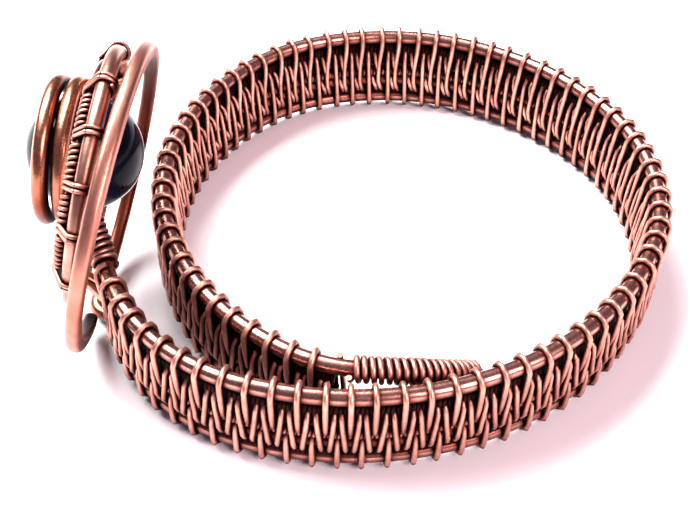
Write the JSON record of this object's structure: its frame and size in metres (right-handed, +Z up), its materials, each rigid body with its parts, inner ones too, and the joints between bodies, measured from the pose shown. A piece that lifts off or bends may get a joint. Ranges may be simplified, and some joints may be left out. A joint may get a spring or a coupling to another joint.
{
  "type": "wire wrapped ring",
  "caption": "Woven copper wire ring with a glass bead caged between rings of wire at its head.",
  "frame": {"origin": "on the middle axis of the finger opening, at the surface that the ring lies on", "axes": "+Z up along the finger opening's axis, -X towards the head with the bead, +Y along the head away from the viewer of the picture"},
  "size_m": [0.0245, 0.0223, 0.0116],
  "materials": {
    "stiff_wire": "antiqued copper, bright on the outside",
    "satin_wire": "copper hammered flat, satin with fine scratches",
    "fine_wire": "antiqued copper, dark between the strands",
    "bead_glass": "glossy, opaque, deep navy"
  },
  "bodies": {
    "root": {"top_wire": "stiff_wire", "upper_wire": "stiff_wire", "lower_wire": "stiff_wire", "bottom_wire": "satin_wire", "band_weave": "fine_wire", "tail_coil": "fine_wire", "lead_coil": "fine_wire", "frame_coil": "fine_wire", "frame_binding_1": "fine_wire", "frame_binding_2": "fine_wire", "frame_binding_3": "fine_wire", "frame_binding_4": "fine_wire", "frame_binding_5": "fine_wire", "frame_binding_6": "fine_wire", "frame_binding_7": "fine_wire", "frame_binding_8": "fine_wire", "frame_binding_9": "fine_wire", "frame_binding_10": "fine_wire", "bead": "bead_glass", "bead_pin": "stiff_wire"}
  },
  "joints": []
}
